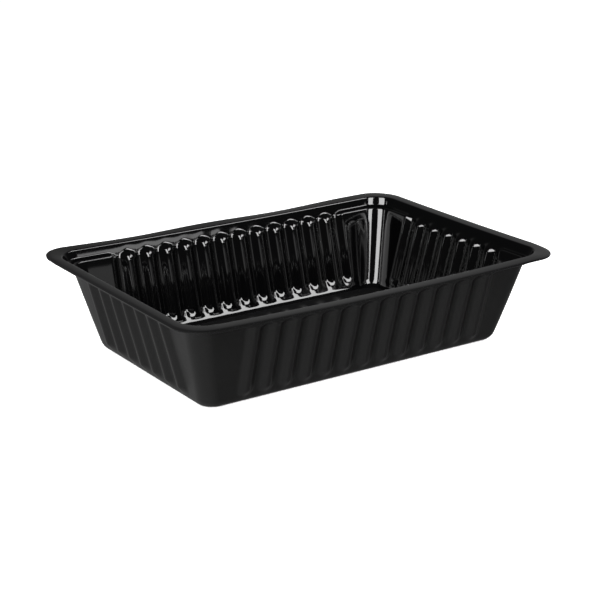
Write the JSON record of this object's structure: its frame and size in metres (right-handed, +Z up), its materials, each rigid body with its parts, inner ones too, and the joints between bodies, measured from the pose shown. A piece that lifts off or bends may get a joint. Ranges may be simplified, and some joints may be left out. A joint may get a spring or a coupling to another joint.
{
  "type": "fluted plastic food tray",
  "caption": "Open rectangular black plastic food tray for fries and snacks, with fluted sloping walls, a flat rim flange, a narrow inner ledge and a flat base.",
  "frame": {"origin": "middle of the underside of the flat base", "axes": "+X along the tray's length, +Y across it, +Z up out of the open mouth"},
  "size_m": [0.205, 0.1402, 0.045],
  "materials": {
    "black_sheet": "glossy inside, satin outside"
  },
  "bodies": {
    "root": {"tray": "black_sheet"}
  },
  "joints": []
}
